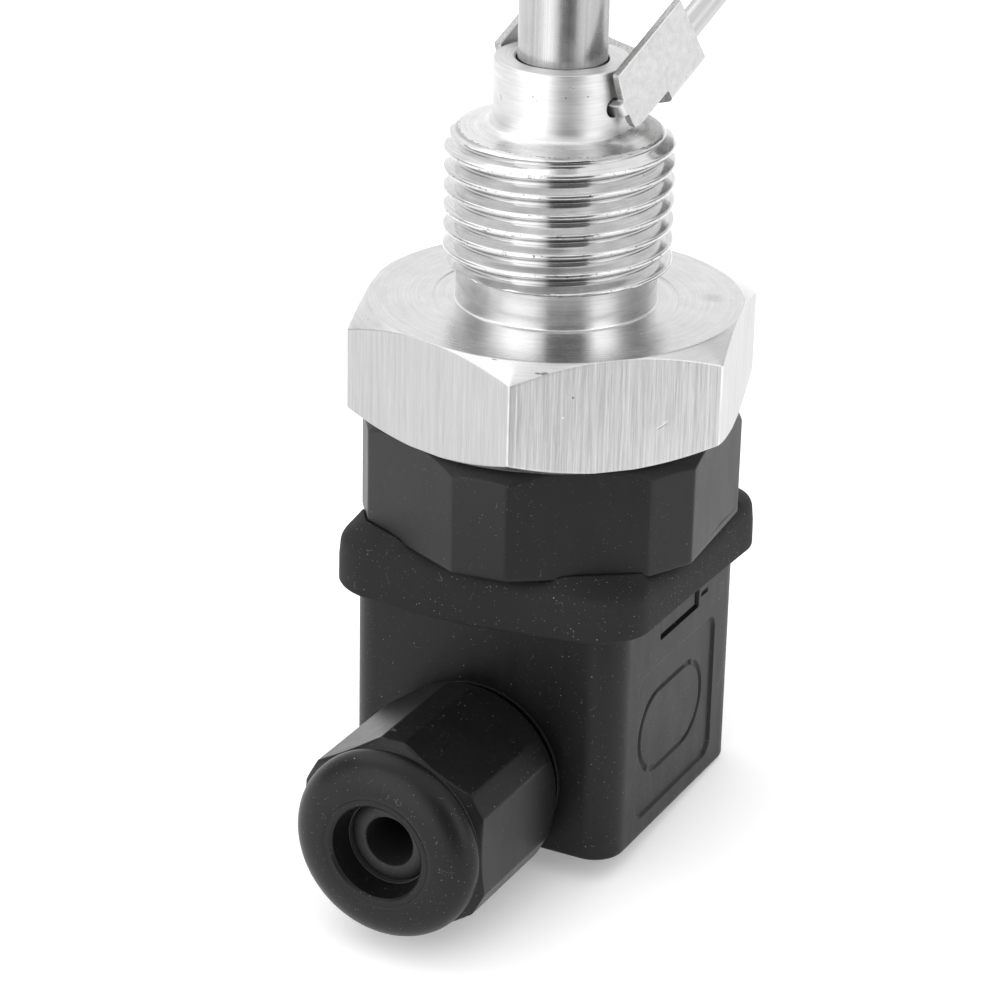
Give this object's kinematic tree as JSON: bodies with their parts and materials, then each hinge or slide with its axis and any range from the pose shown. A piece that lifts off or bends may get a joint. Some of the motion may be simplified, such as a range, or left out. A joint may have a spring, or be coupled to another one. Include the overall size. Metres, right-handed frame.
{
  "type": "float switch",
  "caption": "Side-mounted float switch: turned steel body with pipe thread, stem tube, hinged float arm and a square black plug with a cable gland.",
  "frame": {"origin": "centre of the hexagon's sealing face, on the pipe thread's axis", "axes": "+Z along the thread and stem towards the tank, -Y along the cable gland, +X out of the plug's panel face"},
  "size_m": [0.0451, 0.0952, 0.1134],
  "materials": {
    "stainless": "turned",
    "tube_steel": "fine ground",
    "sheet_steel": "dull, tumbled",
    "rod_steel": "drawn",
    "float_steel": "satin",
    "screw_steel": "plated",
    "contact_metal": "tinned",
    "brass": "plain",
    "magnet": "sintered",
    "glass": "clear",
    "sleeve": "shrunk sleeve",
    "wire": "insulated",
    "resin": "cast resin",
    "base_plastic": "satin glass-filled nylon",
    "housing_plastic": "satin glass-filled nylon",
    "insert_plastic": "moulded",
    "nut_plastic": "satin moulded nylon",
    "gasket_rubber": "matt, dusty",
    "seal_rubber": "smooth",
    "bush_rubber": "matt"
  },
  "bodies": {
    "switch_body": {"hex_body": "stainless", "stem_tube": "tube_steel", "stem_tip": "tube_steel", "reed_glass": "glass", "reed_blades": "contact_metal", "reed_sleeve": "sleeve", "lead_wires": "wire", "potting_plug": "resin", "connector_base": "base_plastic", "base_o_ring": "seal_rubber", "contact_pins": "contact_metal", "earth_pin": "contact_metal", "threaded_insert": "brass", "profile_gasket": "gasket_rubber", "plug_housing": "housing_plastic", "contact_insert": "insert_plastic", "female_contacts": "brass", "earth_contact": "brass", "terminal_screws": "screw_steel", "fixing_screw": "screw_steel", "screw_seal": "seal_rubber", "gland_nut": "nut_plastic", "gland_washer": "insert_plastic", "gland_seal": "bush_rubber"},
    "float_arm": {"float_bracket": "sheet_steel", "float_rod": "rod_steel", "rod_weld": "rod_steel", "float_boss": "stainless", "float_shell_near": "float_steel", "float_shell_far": "float_steel", "float_magnet": "magnet", "magnet_retainer": "screw_steel"}
  },
  "joints": [
    {"name": "float_hinge", "type": "hinge", "parent": "switch_body", "child": "float_arm", "pos_m": [0, 0, 0.01898], "axis": [0.9659, -0.2588, 0], "range_deg": [0, 42.3]}
  ]
}
